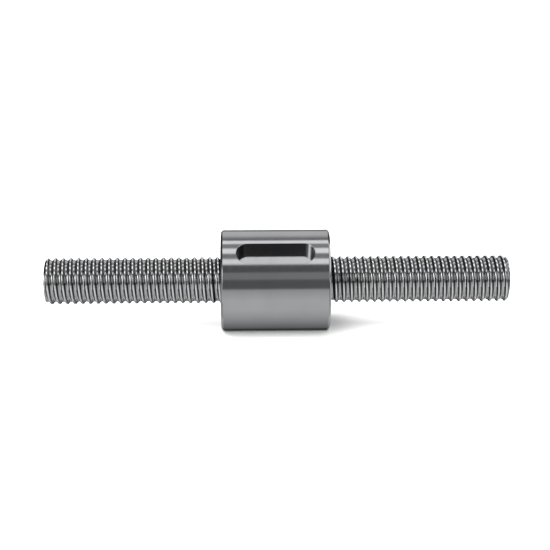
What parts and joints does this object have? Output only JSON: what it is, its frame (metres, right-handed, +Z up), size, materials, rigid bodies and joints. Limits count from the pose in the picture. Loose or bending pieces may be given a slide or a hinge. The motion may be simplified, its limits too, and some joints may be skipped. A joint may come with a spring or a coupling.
{
  "type": "ball screw",
  "caption": "Ground ball screw with a round ball groove along its whole rod and a cylindrical keyed nut that travels on recirculating balls.",
  "frame": {"origin": "middle of the nut, on the axis of the screw", "axes": "+X along the screw, +Z up; the keyway is turned 45 degrees from +Z towards -Y, the side it is seen from"},
  "size_m": [0.12, 0.026, 0.026],
  "materials": {
    "screw_steel": "ground and polished",
    "nut_steel": "ground",
    "ball_steel": "polished",
    "deflector": "moulded",
    "felt": "pressed felt",
    "ring_steel": "phosphated spring steel"
  },
  "bodies": {
    "nut": {"nut_body": "nut_steel", "return_deflector_1": "deflector", "return_deflector_2": "deflector", "return_deflector_3": "deflector", "return_deflector_4": "deflector", "ball_circuit_1": "ball_steel", "ball_circuit_2": "ball_steel", "ball_circuit_3": "ball_steel", "ball_circuit_4": "ball_steel", "retaining_ring_left": "ring_steel", "retaining_ring_right": "ring_steel"},
    "wipers": {"wiper_left": "felt", "wiper_right": "felt"},
    "screw": {"screw_shaft": "screw_steel"}
  },
  "joints": [
    {"name": "screw_turn", "type": "hinge", "parent": "nut", "child": "wipers", "pos_m": [0, 0, 0], "axis": [1, 0, 0], "range_deg": [-8100, 8100]},
    {"name": "screw_travel", "type": "slide", "parent": "wipers", "child": "screw", "axis": [1, 0, 0], "range_m": [-0.045, 0.045]}
  ],
  "couplings": [
    {"joint": "screw_turn", "follows": "screw_travel", "rad_per_m": 3141.6}
  ]
}
